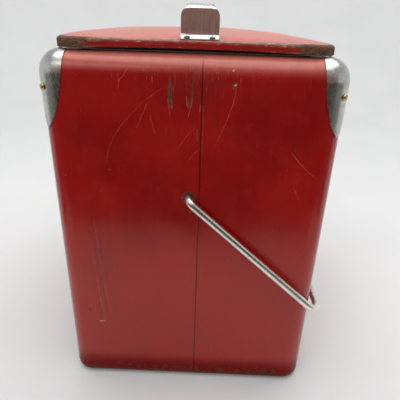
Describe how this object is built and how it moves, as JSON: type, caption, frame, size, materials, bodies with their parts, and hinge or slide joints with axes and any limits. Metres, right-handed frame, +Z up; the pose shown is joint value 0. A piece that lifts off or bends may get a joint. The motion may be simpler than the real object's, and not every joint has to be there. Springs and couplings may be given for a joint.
{
  "type": "cooler chest",
  "caption": "Upright rectangular steel picnic cooler with rounded edges, bright corner caps, lift-off domed lid with end brackets and a bent-rod bail handle swung down on one long side.",
  "frame": {"origin": "middle of the underside, on the surface the cooler stands on", "axes": "+Z up, X across the narrow way with the lowered bail on +X, Y along the length with the seamed end face towards -Y"},
  "size_m": [0.3497, 0.4907, 0.4954],
  "materials": {
    "red_paint": "worn satin enamel with scratches and rusted edges",
    "galvanised": "dull spangled zinc",
    "insulation": "matte fibre",
    "plain_steel": "zinc plated",
    "cap_aluminium": "buffed, lightly scuffed",
    "brass_screw": "tarnished",
    "gasket_rubber": "matte",
    "clip_chrome": "polished plating",
    "rod_steel": "bright drawn rod"
  },
  "bodies": {
    "case": {"outer_shell": "red_paint", "base_pan": "red_paint", "tank": "galvanised", "wall_insulation": "insulation", "floor_insulation": "insulation", "front_pivot_plate": "plain_steel", "rear_pivot_plate": "plain_steel", "front_pivot_bush": "plain_steel", "rear_pivot_bush": "plain_steel", "front_left_cap": "cap_aluminium", "front_right_cap": "cap_aluminium", "rear_left_cap": "cap_aluminium", "rear_right_cap": "cap_aluminium", "cap_screws": "brass_screw", "drain_tube": "plain_steel", "drain_seal": "gasket_rubber", "drain_nut": "plain_steel"},
    "lid": {"lid_skin": "red_paint", "lid_pan": "galvanised", "lid_insulation": "insulation", "lid_gasket": "gasket_rubber", "front_lid_clip": "clip_chrome", "rear_lid_clip": "clip_chrome", "clip_rivets": "plain_steel"},
    "bail": {"bail_rod": "rod_steel", "bail_washers": "plain_steel", "bail_retainers": "plain_steel"},
    "drain_plug": {"drain_cap": "plain_steel"}
  },
  "joints": [
    {"name": "bail_swing", "type": "hinge", "parent": "case", "child": "bail", "pos_m": [-0.0023, 0, 0.2906], "axis": [0, -1, 0], "range_deg": [0, 265]},
    {"name": "lid_lift", "type": "slide", "parent": "case", "child": "lid", "axis": [0, 0, 1], "range_m": [0, 0.25]},
    {"name": "drain_cap_pull", "type": "slide", "parent": "case", "child": "drain_plug", "axis": [0, 1, 0], "range_m": [0, 0.016]}
  ]
}
